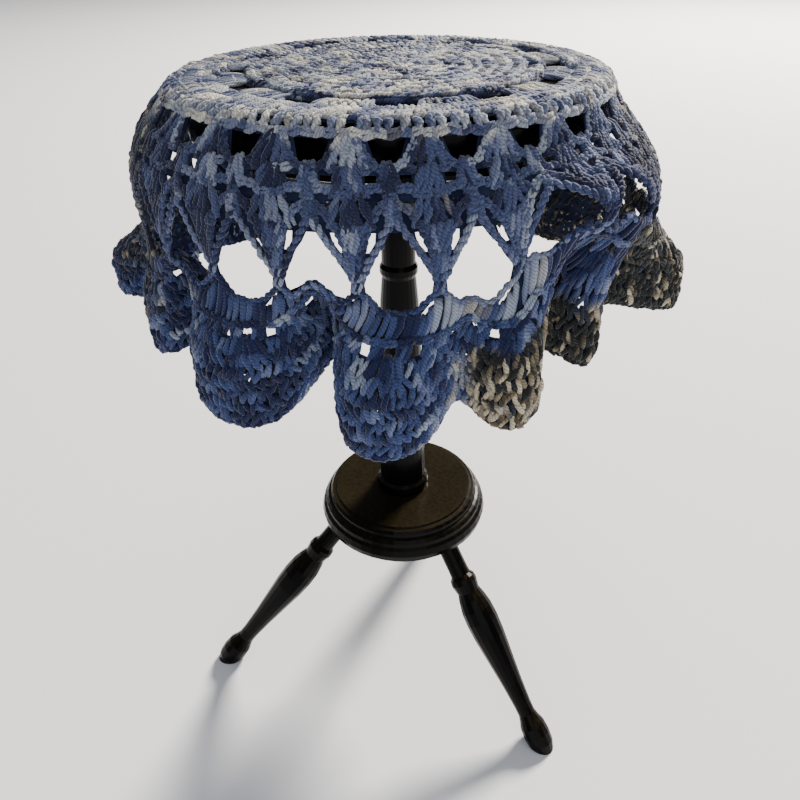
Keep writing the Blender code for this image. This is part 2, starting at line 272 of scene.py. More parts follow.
class Drape:
    """Where each point of the flat, round doily lies once it is draped.

    A point of the cloth is named by its azimuth in degrees and its distance out from the
    centre in metres, measured along the cloth. Both may be arrays.
    """

    def __init__(self):
        self.line = smooth_line(SHOULDER, 8) * MM
        self.out = self.line[0, 0] + lengths_along(self.line)
        self.border_start = self.out[-1]
        self.flare = smooth_line(FLARE, 6)
        corners = []
        for azimuth, half_width, radius, height in FOLDS:
            for side in (-half_width, half_width):
                angle = math.radians(FRONT + azimuth + side)
                corners.append((radius * math.cos(angle), radius * math.sin(angle), height))
        hem = closed_spline(np.array(corners) * MM, 24)
        self.hem = np.vstack([hem, hem[:1]])
        length = lengths_along(self.hem[:, :2])
        azimuth = np.degrees(np.unwrap(np.arctan2(self.hem[:, 1], self.hem[:, 0])))
        share = 360 * length / length[-1]
        self.hem_azimuth = share + np.mean(azimuth[:-1] - share[:-1])

    def hem_at(self, azimuth):
        """The hem's place at this azimuth of the cloth."""
        turned_to = (azimuth - self.hem_azimuth[0]) % 360 + self.hem_azimuth[0]
        return np.stack([np.interp(turned_to, self.hem_azimuth, axis) for axis in self.hem.T], -1)

    def __call__(self, azimuth, out):
        azimuth, out = np.broadcast_arrays(np.asarray(azimuth, float), np.asarray(out, float))
        hangs = np.minimum(out, self.border_start)
        on_line = np.interp(hangs, self.out, self.line[:, 0])
        radius = np.where(out > self.out[0], on_line, out)
        height = FLAT_HEIGHT + np.interp(hangs, self.out, self.line[:, 1])
        angle = np.radians(azimuth + TWIST * comes_in(out, TWIST_ZONE))
        right = np.cos(angle)
        radius = radius + (SIDE_STAND + RIGHT_STAND * right) * right**2 * comes_in(out, SIDE_ZONE)
        near_rim = comes_in(out, RIM_ZONE) - comes_in(out, BELOW_RIM_ZONE)
        radius = radius - LEFT_STAND * right * near_rim
        from_front = (azimuth - FRONT + 180) % 360 - 180
        flares = comes_in(out, FLARE_ZONE) * MM
        radius = radius + np.interp(from_front, self.flare[:, 0], self.flare[:, 1]) * flares
        height = height + np.interp(from_front, self.flare[:, 0], self.flare[:, 2]) * flares
        shift = SHIFT * comes_in(out, SHIFT_ZONE)
        place = np.stack([radius * right - shift, radius * np.sin(angle), height], -1)
        down = (out - self.border_start) / BORDER
        hem = self.hem_at(azimuth + TWIST)
        inward = np.hypot(place[..., 0], place[..., 1]) - np.hypot(hem[..., 0], hem[..., 1])
        lift = fade(down / LIFT_FULL) - fade((down - LIFT_FULL) / (LIFT_ENDS - LIFT_FULL))
        tight = np.clip(inward / TIGHT_FOLD, 0, 1) * lift
        ruffled = place + (hem - place) * fade(down / FULL_RUFFLE)[..., None]
        ruffled[..., 2] = height + (hem[..., 2] - height) * down + TIGHT_LIFT * tight
        place = np.where((down > 0)[..., None], ruffled, place)
        place[..., 0] += AXIS[0]
        place[..., 1] += AXIS[1]
        return place

    def frame_at(self, azimuth, out):
        """The place, the way round per degree, the way out per metre and the outward normal."""
        turn, step = 0.15, 0.5 * MM
        place = self(azimuth, out)
        around = (self(azimuth + turn, out) - self(azimuth - turn, out)) / (2 * turn)
        outwards = (self(azimuth, out + step) - self(azimuth, out - step)) / (2 * step)
        return place, around, outwards, unit(np.cross(outwards, around))


DRAPE = Drape()


# ---------------------------------------------------------------- materials


class Wire:
    """A socket of a material's nodes, with shader maths written as Python expressions."""

    def __init__(self, shop, socket):
        self.shop, self.socket = shop, socket

    def maths(self, operation, *others, clamp=False):
        made = self.shop.add("ShaderNodeMath", {"operation": operation, "use_clamp": clamp})
        for place, value in enumerate((self, *others)):
            self.shop.feed(made.inputs[place], value)
        return Wire(self.shop, made.outputs[0])

    def __add__(self, other):
        return self.maths("ADD", other)

    def __mul__(self, other):
        return self.maths("MULTIPLY", other)

    def __sub__(self, other):
        return self.maths("SUBTRACT", other)

    def __rsub__(self, other):
        return (self * -1) + other

    def __pow__(self, other):
        return self.maths("POWER", other)

    __radd__, __rmul__ = __add__, __mul__

    def sine(self):
        return self.maths("SINE")

    def held(self):
        """The value kept between 0 and 1."""
        return self.maths("ADD", 0.0, clamp=True)


class Finish:
    """A material whose nodes are added one by one."""

    def __init__(self, name):
        self.material = bpy.data.materials.new(name)
        self.material.use_nodes = True
        self.tree = self.material.node_tree
        self.shader = self.tree.nodes["Principled BSDF"]

    def feed(self, socket, value):
        if isinstance(value, Wire):
            self.tree.links.new(value.socket, socket)
        elif isinstance(value, bpy.types.NodeSocket):
            self.tree.links.new(value, socket)
        else:
            socket.default_value = value

    def add(self, kind, settings=None, values=None):
        made = self.tree.nodes.new(kind)
        for name, value in (settings or {}).items():
            if name == "stops":
                ramp = made.color_ramp
                while len(ramp.elements) < len(value):
                    ramp.elements.new(1)
                for element, (place, colour) in zip(ramp.elements, value):
                    element.position, element.color = place, (*colour, 1)
            else:
                setattr(made, name, value)
        for name, value in (values or {}).items():
            self.feed(made.inputs[name], value)
        return made

    def wire(self, kind, output, settings=None, values=None):
        return Wire(self, self.add(kind, settings, values).outputs[output])

    def attribute(self, name):
        return self.wire("ShaderNodeAttribute", "Fac", {"attribute_name": name})

    def noise(self, place, scale, detail, **values):
        """A cloudy shade over the piece."""
        values = {"Vector": place, "Scale": scale, "Detail": detail, **values}
        return self.wire("ShaderNodeTexNoise", "Fac", values=values)

    def ramp(self, share, *stops):
        """These colours one after another, each from its own share."""
        return self.wire("ShaderNodeValToRGB", "Color", {"stops": stops}, {"Fac": share})

    def mixed(self, share, first, second, how="MIX"):
        """Two colours, mixed."""
        made = self.add("ShaderNodeMix", {"data_type": "RGBA", "blend_type": how})
        self.feed(made.inputs["Factor"], share)
        for socket, value in zip(made.inputs[6:8], (first, second)):
            self.feed(socket, (*value, 1) if isinstance(value, tuple) else value)
        return Wire(self, made.outputs[2])

    def bump(self, height, strength, distance, over=None):
        values = {"Strength": strength, "Distance": distance, "Height": height}
        if over is not None:
            values["Normal"] = over
        return self.wire("ShaderNodeBump", "Normal", values=values)

    def surface(self, **values):
        for name, value in values.items():
            self.feed(self.shader.inputs[name.replace("_", " ")], value)
        return self.material


def yarn_finish():
    """Variegated cotton: long changes of blue along the yarn, with painted light as paler blues and
    cream, mostly on the top, and painted shade as darker blues and as charcoal with warm painted
    highlights, in places.
    """
    yarn = bpy.context.scene.doily_yarn
    finish = Finish("variegated cotton yarn")
    along = finish.attribute("yarn")
    pale, smoky, dusty = (finish.attribute(name) for name in ("pale", "smoky", "dusty"))

    def run(length, start, detail=0.0):
        """A shade that changes along the yarn about once in this length."""
        return finish.wire(
            "ShaderNodeTexNoise",
            "Fac",
            {"noise_dimensions": "1D"},
            {"W": along * (1 / length) + start, "Scale": 1.0, "Detail": detail},
        )

    # The blues: shifted paler on the top as painted light and deeper where shade is painted, then a
    # little greyer and darker over the top and the upper skirt
    blues = finish.ramp(
        run(yarn.patch, 0.0, 2.0) * 1.25 + pale * 0.13 - 0.137,
        (0.37, tuple(yarn.deep)),
        (0.46, tuple(yarn.mid)),
        (0.53, tuple(yarn.mid)),
        (0.61, tuple(yarn.light)),
        (0.74, tuple(yarn.pale)),
    )
    # Greyer and a little darker on the top and the upper skirt
    blues = finish.wire(
        "ShaderNodeHueSaturation",
        "Color",
        values={"Saturation": dusty * -0.14 + 1, "Value": dusty * -0.08 + 1, "Color": blues},
    )
    # Charcoal with flecks of tan and wheat: painted shade with warm painted highlights
    shade_palette = finish.ramp(
        run(yarn.patch * 0.15, 31.0, 1.0) * 1.2 + pale * 0.14 - 0.165,
        (0.30, tuple(yarn.charcoal)),
        (0.47, tuple(yarn.charcoal)),
        (0.54, tuple(yarn.tan)),
        (0.64, tuple(yarn.wheat)),
    )
    # Cream where the yarn is palest, mostly on the top, partly painted light; then the charcoal of
    # painted shade in its own places
    cream_share = (pale * 1.05 + run(yarn.patch * 0.9, 57.0, 2.0) * 4.2 - 3.0).held()
    colour = finish.mixed(cream_share, blues, tuple(yarn.cream))
    shade_palette_share = (smoky * 1.3 + run(yarn.patch * 0.7, 83.0) * 0.8 - 0.55).held()
    colour = finish.mixed(shade_palette_share, colour, shade_palette)

    # Three plies twisted together, with painted shade in the hollows between them, and loose fibres
    ply = finish.add("ShaderNodeUVMap", {"uv_map": "ply"})
    parts = finish.add("ShaderNodeSeparateXYZ", values={"Vector": ply.outputs["UV"]})
    around, length = (Wire(finish, parts.outputs[i]) for i in (0, 1))
    turns = around * 3 + length * (3 / yarn.ply_turn)
    ridge = (turns * math.tau).sine() * 0.5 + 0.5
    place = finish.wire("ShaderNodeTexCoord", "Object")
    fibres = finish.noise(place, 1500.0, 3.0, Roughness=0.7)
    ply_hollow_shade = (ridge**0.6) * 0.5 + 0.5
    colour = finish.mixed(1.0, colour, ply_hollow_shade * (fibres * 0.5 + 0.75), "MULTIPLY")
    bumps = finish.bump(ridge, 0.6, 0.35 * MM)
    bumps = finish.bump(fibres, 0.5, 0.2 * MM, over=bumps)
    return finish.surface(
        Base_Color=colour,
        Roughness=0.86 + fibres * 0.1,
        Normal=bumps,
        Sheen_Weight=0.25,
        Sheen_Roughness=0.4,
        Specular_IOR_Level=0.25,
    )


def backing_finish():
    """Darkened yarn colours on the sheet deep between the stitches: painted shade."""
    yarn = bpy.context.scene.doily_yarn
    finish = Finish("painted shade between the stitches")
    place = finish.wire("ShaderNodeTexCoord", "Object")
    patches = finish.noise(place, 40.0, 2.0)
    fibres = finish.noise(place, 900.0, 3.0)
    # Darkened copies of the yarn's blues: painted shade
    dark = tuple(0.35 * x for x in yarn.deep)
    mid = tuple(0.25 * x for x in yarn.mid)
    colour = finish.mixed(((patches - 0.4) * 5).held(), dark, mid)
    return finish.surface(
        Base_Color=finish.mixed(1.0, colour, fibres + 0.5, "MULTIPLY"),
        Roughness=0.95,
        Normal=finish.bump(fibres, 0.6, 0.3 * MM),
        Specular_IOR_Level=0.2,
    )


def wood_finish():
    """Ebonised wood under a worn satin polish, with the grain and a little brown in it, browner on
    faces that turn upwards as painted light from above.
    """
    stand = bpy.context.scene.doily_stand
    finish = Finish("ebonised wood polish")
    place = finish.wire("ShaderNodeTexCoord", "Object")
    stretched = finish.wire(
        "ShaderNodeMapping", "Vector", values={"Vector": place, "Scale": (1, 1, 0.08)}
    )
    grain = finish.noise(stretched, 260.0, 5.0, Roughness=0.6)
    cloudy = finish.noise(place, 14.0, 3.0)
    fine = finish.noise(place, 700.0, 2.0)
    shape = finish.add("ShaderNodeNewGeometry")
    facing = finish.add("ShaderNodeSeparateXYZ", values={"Vector": shape.outputs["True Normal"]})
    upward = Wire(finish, facing.outputs["Z"])
    # Browner, and so lighter, on faces that turn upwards: painted light from above
    brown_share = ((grain - 0.45) * 1.6 + (cloudy - 0.5) * 1.1 + (upward - 0.6) * 1.7).held()
    return finish.surface(
        Base_Color=finish.mixed(brown_share, tuple(stand.black), tuple(stand.brown)),
        Roughness=stand.polish + (cloudy - 0.5) * 0.25 + (grain - 0.5) * 0.12,
        Normal=finish.bump(grain + fine * 0.3, 0.12, 0.3 * MM),
        Specular_IOR_Level=0.07,
    )


def floor_finish():
    studio = bpy.context.scene.doily_studio
    finish = Finish("pale studio floor")
    return finish.surface(Base_Color=(*studio.floor, 1), Roughness=0.9, Specular_IOR_Level=0.1)


# ---------------------------------------------------------------- strands of yarn


def shape_of(t, side=0.0, lift=0.0, along=0.0):
    """A strand's line within its stitch: share of its length, and mm along, aside and up."""
    return np.stack(np.broadcast_arrays(t, along, side, lift), -1)


def crossing_pair(spread, lift=0.45, depth=0.6):
    """Two strands that cross once between the foot and the head of a stitch."""
    turn = math.pi * STEPS
    return [
        shape_of(STEPS, sign * spread * np.cos(turn), lift + sign * depth * np.sin(turn))
        for sign in (1, -1)
    ]


def twisted_pair(spread, lift=0.8, depth=0.8):
    """Two strands that cross twice between the foot and the head of a stitch."""
    turn = math.tau * STEPS + 0.35
    t = STEPS * 1.04 - 0.02
    narrow = np.array([0.8, 1.0, 1.0, 1.0, 1.0, 0.8]) * spread
    return [
        shape_of(t, sign * narrow * np.cos(turn), lift + sign * depth * np.sin(turn))
        for sign in (1, -1)
    ]


def over_pair(spread, lift=0.6):
    """Two strands side by side whose foot loops over the row above, from behind."""
    t = np.array([0, 0, 0.16, 0.45, 0.75, 1.02])
    along = np.array([1.6, -1.3, -0.4, 0, 0, 0])
    up = np.array([-1.6, -0.2, 1.1, 0.7, 0.5, 0.1]) + lift - 0.5
    narrow = np.array([0.75, 0.8, 0.9, 1.0, 0.9, 0.65])
    return [shape_of(t, sign * spread * narrow, up, along) for sign in (-1, 1)]


def hooked_pair(spread, hook, lift=0.8):
    """A pair that loops over its edge from behind, and bends sideways at its head."""
    bend = hook * np.array([0, 0, 0, 0.1, 0.5, 1.0])
    return [strand + shape_of(0, bend) for strand in over_pair(spread, lift)]


def rope_pair(spread=1.1, lift=0.45):
    """Two strands wound round one another, half a turn in each length of the cord."""
    t = np.linspace(-0.12, 1.12, POINTS)
    turns = (math.pi * t + start for start in (0.4, 0.4 + math.pi))
    return [shape_of(t, spread * np.cos(turn), lift + spread * np.sin(turn)) for turn in turns]


def leaf_pair(foot, head, lift=0.6):
    """Two plump strands that lean apart or together, and pass under the row after them."""
    t = np.array([-0.02, 0.14, 0.36, 0.6, 0.84, 1.08])
    up = np.array([-1.2, 0.5, 1.3, 1.3, 0.7, -0.7]) + lift
    side = foot + (head - foot) * fade(t) + 0.35 * np.sin(math.pi * np.clip(t, 0, 1))
    return [shape_of(t, sign * side, up) for sign in (-1, 1)]


def slanting_wrap(low, high):
    """A short strand that winds slantwise over the front of a stitch."""
    turn = math.pi * STEPS
    return shape_of(low + (high - low) * STEPS, -2.4 * np.cos(turn), 2.2 * np.sin(turn) - 0.5)


def link(width, lift):
    """The teardrop loop at a stitch's head, lying along its row."""
    t = np.array([-0.15, 0.3, 0.85, 0.95, 0.35, -0.15])
    side = np.array([0.3, 1.1, 0.65, -0.65, -1.1, -0.3]) * width
    up = np.array([-0.9, 0.1, 0.4, 0.4, 0.1, -0.9]) + lift
    return shape_of(t, side, up)


class Lace:
    """The strands of one piece of the doily, laid along its drape."""

    def __init__(self, name, seed):
        self.name = name
        self.rng = np.random.default_rng(seed)
        self.paths, self.thick, self.start, self.places = [], [], [], []

    def lay(self, base, head, shape, yarn, thick, loose=0.25, curve=1.0):
        """Lays one strand of this shape for each pair of ends, named by azimuth and mm out.

        It starts at this place along the yarn. Loose is how uneven the strands lie, in mm, and
        a curve other than 1 bends them sideways.
        """
        base, head = (np.array(end, float).reshape(2, -1) for end in (base, head))
        count = base.shape[1]
        t, along, side, lift = (column[None, :] for column in shape.T)
        reach = head - base
        eased = np.sign(t) * np.abs(t) ** curve
        azimuth = base[0][:, None] + reach[0][:, None] * eased
        out = (base[1][:, None] + reach[1][:, None] * t) * MM
        place, around, outwards, normal = DRAPE.frame_at(azimuth, out)
        way = around * reach[0][:, None, None] + outwards * reach[1][:, None, None] * MM
        way = unit(way - (way * normal).sum(-1, keepdims=True) * normal)
        aside = np.cross(normal, way)
        off = self.rng.normal(0, loose, (3, count, 1))
        off = off + self.rng.normal(0, loose * 0.35, (3, count, len(shape)))
        side = side + self.rng.normal(0, 2.2 * loose, (count, 1)) * (t - 0.5)
        place = place + MM * (
            way * (along + off[0])[..., None]
            + aside * (side + off[1])[..., None]
            + normal * (lift + 0.9 * off[2])[..., None]
        )
        self.paths.append(place)
        self.thick.append(thick * (1 + self.rng.normal(0, 0.04, count)))
        self.start.append(np.broadcast_to(yarn, count))
        self.places.append(np.stack([azimuth, out / MM], -1))

    def posts(self, base, head, number, pair, wrap=None, thick=1.0, **how):
        """The upright stitches of a row: a pair of strands each, and a wrap round tall ones."""
        base, head = (
            (end[0], np.broadcast_to(np.array(end[1], float), np.shape(end[0])))
            for end in (base, head)
        )
        yarn = yarn_for(len(base[0]), number)
        for strand, shape in enumerate(pair):
            self.lay(base, head, shape, yarn + YARN_IN_STRAND * strand, thick, **how)
        if wrap:
            self.lay(base, head, slanting_wrap(*wrap), yarn + 0.03, 0.9 * thick, **how)

    def heads(self, azimuths, outs, pitch, number, thick, width, lift, slant):
        """The heads of a row of stitches, each this many degrees wide and tilted by turns."""
        azimuths = np.array(azimuths, float)
        outs = outs + self.rng.normal(0, 0.45, azimuths.shape)
        half = pitch / 2 * (1 + self.rng.normal(0, 0.08, azimuths.shape))
        tilt = self.rng.normal(0, 0.35, azimuths.shape) + slant * (-1.0) ** np.arange(azimuths.size)
        ends = ((azimuths + sign * half, outs + sign * tilt) for sign in (-1, 1))
        yarn = yarn_for(len(azimuths), number)
        self.lay(*ends, link(width, lift), yarn, thick, loose=0.2)

    def cord(self, stops, number, shapes, pitch, thick, mirror=True, at_edge=False):
        """A cord through these stops, each a share of half a bay and mm out, in every bay."""
        line = smooth_line(stops, 10)
        length = lengths_along(line * (HALF_BAY, 1))
        at = np.linspace(0, length[-1], max(1, round(length[-1] / pitch)) + 1)
        share, out = (np.interp(at, length, column) for column in line.T)
        for sign in (1, -1) if mirror else (1,):
            ends = [
                (in_bays(sign * share[part], at_edge), np.tile(out[part], BAYS))
                for part in (slice(None, -1), slice(1, None))
            ]
            yarn = yarn_for(len(ends[0][0]), number + 0.37 * sign, YARN_IN_STRAND)
            for strand, shape in enumerate(shapes):
                self.lay(*ends, shape, yarn + 0.3 * strand, thick, loose=0.25)

    def finish(self):
        """Joins the strands into one mesh, which knows where each lies on the yarn."""
        paths = np.concatenate(self.paths)
        places = np.concatenate(self.places)
        radius = bpy.context.scene.doily_yarn.thickness / 2 * np.concatenate(self.thick)
        count = len(paths)

        pattern, maps = strand_pattern()
        corners = np.array([vert.co for vert in pattern.vertices])
        ring = np.rint((corners[:, 2] + 0.5) * (POINTS - 1)).astype(int)
        angle = np.arctan2(corners[:, 1], corners[:, 0])
        mesh = repeated(pattern, count, self.name)

        # Each strand's own frame, carried along it without twisting
        way = unit(np.gradient(paths, axis=1))
        first = np.empty_like(paths)
        least = np.eye(3)[np.argmin(np.abs(way[:, 0]), axis=-1)]
        first[:, 0] = unit(np.cross(way[:, 0], least))
        for i in range(1, POINTS):
            carried = first[:, i - 1]
            slip = (carried * way[:, i]).sum(-1, keepdims=True) * way[:, i]
            first[:, i] = unit(carried - slip)
        second = np.cross(way, first)
        reach = (radius[:, None] * TAPER)[:, ring, None]
        points = paths[:, ring] + reach * (
            np.cos(angle)[:, None] * first[:, ring] + np.sin(angle)[:, None] * second[:, ring]
        )
        mesh.vertices.foreach_set("co", points.astype(np.float32).ravel())

        length = lengths_along(paths)
        start = np.concatenate(self.start)
        azimuth = (places[..., 0] - FRONT + 180) % 360 - 180
        out = places[..., 1]
        # Masks of the yarn's colour: paleness paints light on the top and shade in the slots' edges
        # and at the sides; charcoal paints shade with warm highlights; the last greys the top
        values = {
            "yarn": start[:, None] + length,
            "pale": painted_light_and_shade(azimuth, out),
            "smoky": charcoal_shade_places(azimuth, out),
            "dusty": between(out, -50, 215, 90),
        }
        for name, value in values.items():
            layer = mesh.attributes.new(name, "FLOAT", "POINT")
            layer.data.foreach_set("value", value[:, ring].astype(np.float32).ravel())

        # A cell on the bake's map for each strand, and a map of how its plies run
        columns = math.ceil(math.sqrt(count * 2))
        rows = math.ceil(count / columns)
        cell = np.stack([np.arange(count) % columns, np.arange(count) // columns], -1)
        edge = 0.06  # left free round each cell
        own = (cell[:, None] + edge + (1 - 2 * edge) * maps["OFBake"]) / (columns, rows)
        around, loop_ring = maps["ply"].T
        run = start[:, None] + length[:, np.rint(loop_ring * (POINTS - 1)).astype(int)]
        plies = np.stack([np.broadcast_to(around, run.shape), run], -1)
        for name, value in (("OFBake", own), ("ply", plies)):
            mesh.uv_layers[name].uv.foreach_set("vector", value.astype(np.float32).ravel())
        mesh.shade_smooth()
        mesh.update()
        return mesh


def strand_pattern():
    """One straight strand as a mesh, and where its corners lie on its two maps."""
    shape = bmesh.new()
    bmesh.ops.create_cone(shape, cap_ends=True, segments=SIDES, radius1=1, radius2=1, depth=1)
    upright = [e for e in shape.edges if abs(e.verts[0].co.z - e.verts[1].co.z) > 0.5]
    bmesh.ops.subdivide_edges(shape, edges=upright, cuts=POINTS - 2)
    layers = {name: shape.loops.layers.uv.new(name) for name in ("OFBake", "ply")}
    for face in shape.faces:
        centre = face.calc_center_median()
        end = abs(face.normal.z) > 0.5
        middle = math.atan2(centre.y, centre.x) % math.tau
        for corner in face.loops:
            place = corner.vert.co
            angle = math.atan2(place.y, place.x)
            around = middle + (angle - middle + math.pi) % math.tau - math.pi
            height = place.z + 0.5
            corner[layers["ply"]].uv = (around / math.tau, height)
            if end:
                corner[layers["OFBake"]].uv = (
                    0.5 + 0.3 * math.cos(angle),
                    height + 0.03 * math.sin(angle) + (0.03 if height > 0.5 else -0.03),
                )
            else:
                corner[layers["OFBake"]].uv = (around / math.tau, height)
    mesh = bpy.data.meshes.new("strand")
    shape.to_mesh(mesh)
    shape.free()
    maps = {}
    for name in layers:
        found = np.empty(len(mesh.loops) * 2, np.float32)
        mesh.uv_layers[name].uv.foreach_get("vector", found)
        maps[name] = found.reshape(-1, 2).astype(float)
    return mesh, maps


def repeated(pattern, count, name):
    """The pattern's mesh this many times over, as one mesh."""
    holder = bpy.data.objects.new("pattern", pattern)
    bpy.context.scene.collection.objects.link(holder)
    array = holder.modifiers.new("repeat", "ARRAY")
    array.count = count
    array.use_relative_offset = False
    array.use_constant_offset = False
    bpy.context.view_layer.update()
    graph = bpy.context.evaluated_depsgraph_get()
    mesh = bpy.data.meshes.new_from_object(holder.evaluated_get(graph))
    mesh.name = name
    bpy.data.objects.remove(holder)
    return mesh


def most(places, azimuth, out):
    """The most that any of the places in a table gives here."""
    found = [share * between(azimuth, *turn) * between(out, *zone) for share, turn, zone in places]
    return np.maximum.reduce(found)


def faces_away(azimuth):
    """1 on the back half of the doily, fading to 0 on its front half."""
    return between(azimuth % 360, 95, 265, 20)


def painted_light_and_shade(azimuth, out):
    """How pale the yarn is painted: most on the top, its rim and the right front lobe, which is
    painted light; least in the slots' rolled edges and at the left and right of the skirt, which is
    painted shade; a little darker in the border.
    """
    beside = beside_slot(azimuth + FRONT)
    # Painted shade on the slots' rolled edges: the inner all round, the outer on the back half
    inner_edge = 2.0 * between(out, 111, 113, 1.2) * beside
    outer_edge = 2.0 * between(out, 130.5, 132.6, 0.8) * beside * faces_away(azimuth)
    border = 0.25 * between(out, 275, PAST_HEM, 20)
    # Painted light at the right front, painted shade at the left and right of the skirt
    near = most(PAINTED_LIGHT_PLACES, azimuth, out)
    sides = most(PAINTED_SHADE_PLACES, azimuth, out)
    dark = np.maximum.reduce((inner_edge, outer_edge, sides, border * (1 - near)))
    # Paler on the top and its rim: painted light
    return np.maximum(between(out, -50, 168, 18), near) - dark


def charcoal_shade_places(azimuth, out):
    """How much charcoal is painted on the yarn, as painted shade with warm painted highlights: in
    its own places, also at the right, more in its border, and at the back.
    """
    all_down = between(out, 185, PAST_HEM, 25) * 0.38
    right = between(azimuth, 60, 140, 10) * (between(out, 285, PAST_HEM, 20) * 0.62 + all_down)
    back = 0.7 * between(azimuth % 360, 150, 215, 20) * between(out, 330, PAST_HEM, 55)
    return np.maximum.reduce((most(CHARCOAL_SHADE_PLACES, azimuth, out), right, back))


def placed(name, mesh, finish):
    """The piece as an object in the scene, which rides on the table's body."""
    made = bpy.data.objects.new(name, mesh)
    bpy.context.scene.collection.objects.link(made)
    made.data.materials.clear()
    made.data.materials.append(finish)
    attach(made, "root")
    return made


def material_named(name, make):
    """The finish of this name, made the first time."""
    return bpy.data.materials.get(name) or make()


def lace_object(lace):
    finish = material_named("variegated cotton yarn", yarn_finish)
    return placed(lace.name, lace.finish(), finish)


# ---------------------------------------------------------------- rows of lace


def ring_of(count, turn=0.0):
    """Azimuths of stitches spaced evenly all round."""
    return FRONT + turn + 360 / count * np.arange(count)


def in_bays(shares, at_edge=False):
    """Azimuths all round of places given as shares of half a bay from its middle or edge."""
    middles = BAY_TURN + BAY * (np.arange(BAYS) + 0.5 * at_edge)
    return (middles[:, None] + BAY / 2 * np.array(shares)[None, :]).ravel()


def mirrored(shares):
    """These shares on a bay's left, then on its right."""
    return tuple(-share for share in reversed(shares)) + tuple(shares)


def odd(shares):
    """The same with one more in the middle, which is worked last."""
    return mirrored(shares) + (0,)


def beside_slot(azimuths):
    """1 along the slots, fading to 0 on the bridges between them."""
    off = (azimuths - SLOT_TURN + SLOT_PITCH / 2) % SLOT_PITCH - SLOT_PITCH / 2
    return between(off, -0.2 * SLOT_PITCH, 0.2 * SLOT_PITCH, 0.12 * SLOT_PITCH)


def yarn_for(count, row, used=YARN_IN_STITCH):
    """Where along the yarn each stitch of a row starts, each using this much of it."""
    return row * YARN_IN_ROW + used * np.arange(count)


# Each line of stitches in the rolled edges of the slots: height and distance out, in mm
OUTER_ROLL = ((3.4, 134.6), (2.4, 133.0), (0.8, 132.0), (-0.8, 131.6))
INNER_ROLL = ((3.4, 109.6), (1.8, 111.2), (0.4, 112.0), (-1.0, 112.3))


class DOILY_OT_centre(bpy.types.Operator):
    """The flat middle, worked outwards from a small ring, and the slots' rolled edges"""

    bl_idname = "doily.centre"
    bl_label = "Middle rounds"

    def execute(self, context):
        lace = Lace("lace_centre", 11)
        rounds, start, edge = 10, 2.6, 110.0
        for number in range(1, rounds + 1):
            inner, outer = (start + (edge - start) * i / rounds for i in (number - 1, number))
            count = round(11.5 * number)
            turn, pitch = 2.7 * number, 360 / count
            heads = ring_of(count, turn) + lace.rng.normal(0, 0.1, count) * pitch
            feet = heads + lace.rng.normal(-0.15, 0.2, count) * pitch
            last = number == rounds
            wave = (0 if last else 1) * (  # how far the round strays in and out, in mm
                1.3 * np.sin(np.radians(5 * heads + 40 * number))
                + 0.9 * np.sin(np.radians(13 * heads - 70 * number))
            )
            pair = leaf_pair(1.0, 1.9, 1.1) if number % 2 else crossing_pair(1.6, 1.1, 1.4)
            ends = (feet, inner + wave), (heads, outer - 0.5 + wave)
            lace.posts(*ends, number, pair, thick=1.06, loose=0.7)
            look = {"thick": 1.18, "width": 1.4, "lift": 2.3, "slant": 1.2}
            lace.heads(heads, outer - 1.0 + wave, pitch, number + 0.004, **look)
        # The rolled edges of the slots: the outer one at the back, the inner one all round
        count = 120
        pitch = 1.1 * 360 / count
        for first, behind, roll in ((15, True, OUTER_ROLL), (11, False, INNER_ROLL)):
            for lift, out in roll:
                azimuths = ring_of(count, lift)
                there = beside_slot(azimuths) * (faces_away(azimuths - FRONT) if behind else 1)
                look = {"thick": 1.2, "width": 1.1, "lift": lift, "slant": 0.4}
                lace.heads(azimuths[there > 0.3], out, pitch, first + lift, **look)
        lace_object(lace)
        return {"FINISHED"}


